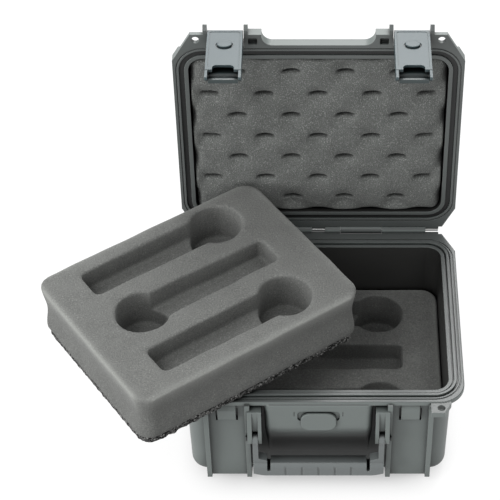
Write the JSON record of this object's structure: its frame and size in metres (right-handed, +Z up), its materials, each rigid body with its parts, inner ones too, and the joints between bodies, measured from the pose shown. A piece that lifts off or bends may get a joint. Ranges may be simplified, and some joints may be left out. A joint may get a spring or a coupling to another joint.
{
  "type": "microphone case",
  "caption": "Hard grey carrying case with a hinged lid, latches, folding handle and foam trays cut out for handheld microphones.",
  "frame": {"origin": "centre of the tub's flat bottom, on the surface that it stands on", "axes": "+X to the right along the hinge, -Y towards the latches and handle at the front, +Z up"},
  "size_m": [0.3919, 0.332, 0.3666],
  "materials": {
    "shell": "textured",
    "latch": "satin",
    "trigger": "satin",
    "handle": "satin",
    "steel": "brushed",
    "seal": "satin",
    "membrane": "satin",
    "foam": "open cell foam",
    "backing": "rebonded foam"
  },
  "bodies": {
    "base": {"base_shell": "shell", "hinge_pin": "steel", "handle_pin_left": "steel", "handle_pin_right": "steel", "valve_cover": "trigger", "valve_body": "trigger", "valve_membrane": "membrane", "valve_seal": "seal", "valve_nut": "trigger"},
    "lid": {"lid_shell": "shell", "lid_gasket": "seal", "lid_foam": "foam", "latch_pin_left": "steel", "latch_pin_right": "steel"},
    "latch_left": {"latch_left": "latch", "trigger_pin_left": "steel", "latch_spring_left": "steel"},
    "trigger_left": {"latch_trigger_left": "trigger"},
    "latch_right": {"latch_right": "latch", "trigger_pin_right": "steel", "latch_spring_right": "steel"},
    "trigger_right": {"latch_trigger_right": "trigger"},
    "handle": {"handle": "handle"},
    "lower_tray": {"lower_tray_foam": "foam", "lower_tray_backing": "backing"},
    "upper_tray": {"upper_tray_foam": "foam", "upper_tray_backing": "backing"}
  },
  "joints": [
    {"name": "lid_hinge", "type": "hinge", "parent": "base", "child": "lid", "pos_m": [0, 0.11775, 0.11985], "axis": [1, 0, 0], "range_deg": [0, 92]},
    {"name": "latch_left_pivot", "type": "hinge", "parent": "lid", "child": "latch_left", "pos_m": [-0.085, 0.12826, 0.35052], "axis": [-1, 0, 0], "range_deg": [0, 110]},
    {"name": "trigger_left_pivot", "type": "hinge", "parent": "latch_left", "child": "trigger_left", "pos_m": [-0.085, 0.07565, 0.35116], "axis": [1, 0, 0], "range_deg": [0, 7.5], "stiffness_Nm_per_rad": 0.25, "springref_deg": -5.73, "deforming": ["latch_spring_left"]},
    {"name": "latch_right_pivot", "type": "hinge", "parent": "lid", "child": "latch_right", "pos_m": [0.085, 0.12826, 0.35052], "axis": [-1, 0, 0], "range_deg": [0, 110]},
    {"name": "trigger_right_pivot", "type": "hinge", "parent": "latch_right", "child": "trigger_right", "pos_m": [0.085, 0.07565, 0.35116], "axis": [1, 0, 0], "range_deg": [0, 7.5], "stiffness_Nm_per_rad": 0.25, "springref_deg": -5.73, "deforming": ["latch_spring_right"]},
    {"name": "handle_pivot", "type": "hinge", "parent": "base", "child": "handle", "pos_m": [0, -0.11375, 0.0725], "axis": [-1, 0, 0], "range_deg": [0, 100]},
    {"name": "lower_tray_lift", "type": "slide", "parent": "base", "child": "lower_tray", "axis": [0, 0, -1], "range_m": [-0.13, 0]},
    {"name": "upper_tray_slide", "type": "slide", "parent": "lower_tray", "child": "upper_tray", "axis": [-0.8, -0.6, 0], "range_m": [0, 0.301]}
  ],
  "couplings": [
    {"joint": "upper_tray_slide", "follows": "lid_hinge", "m_per_rad": 0.1868}
  ]
}
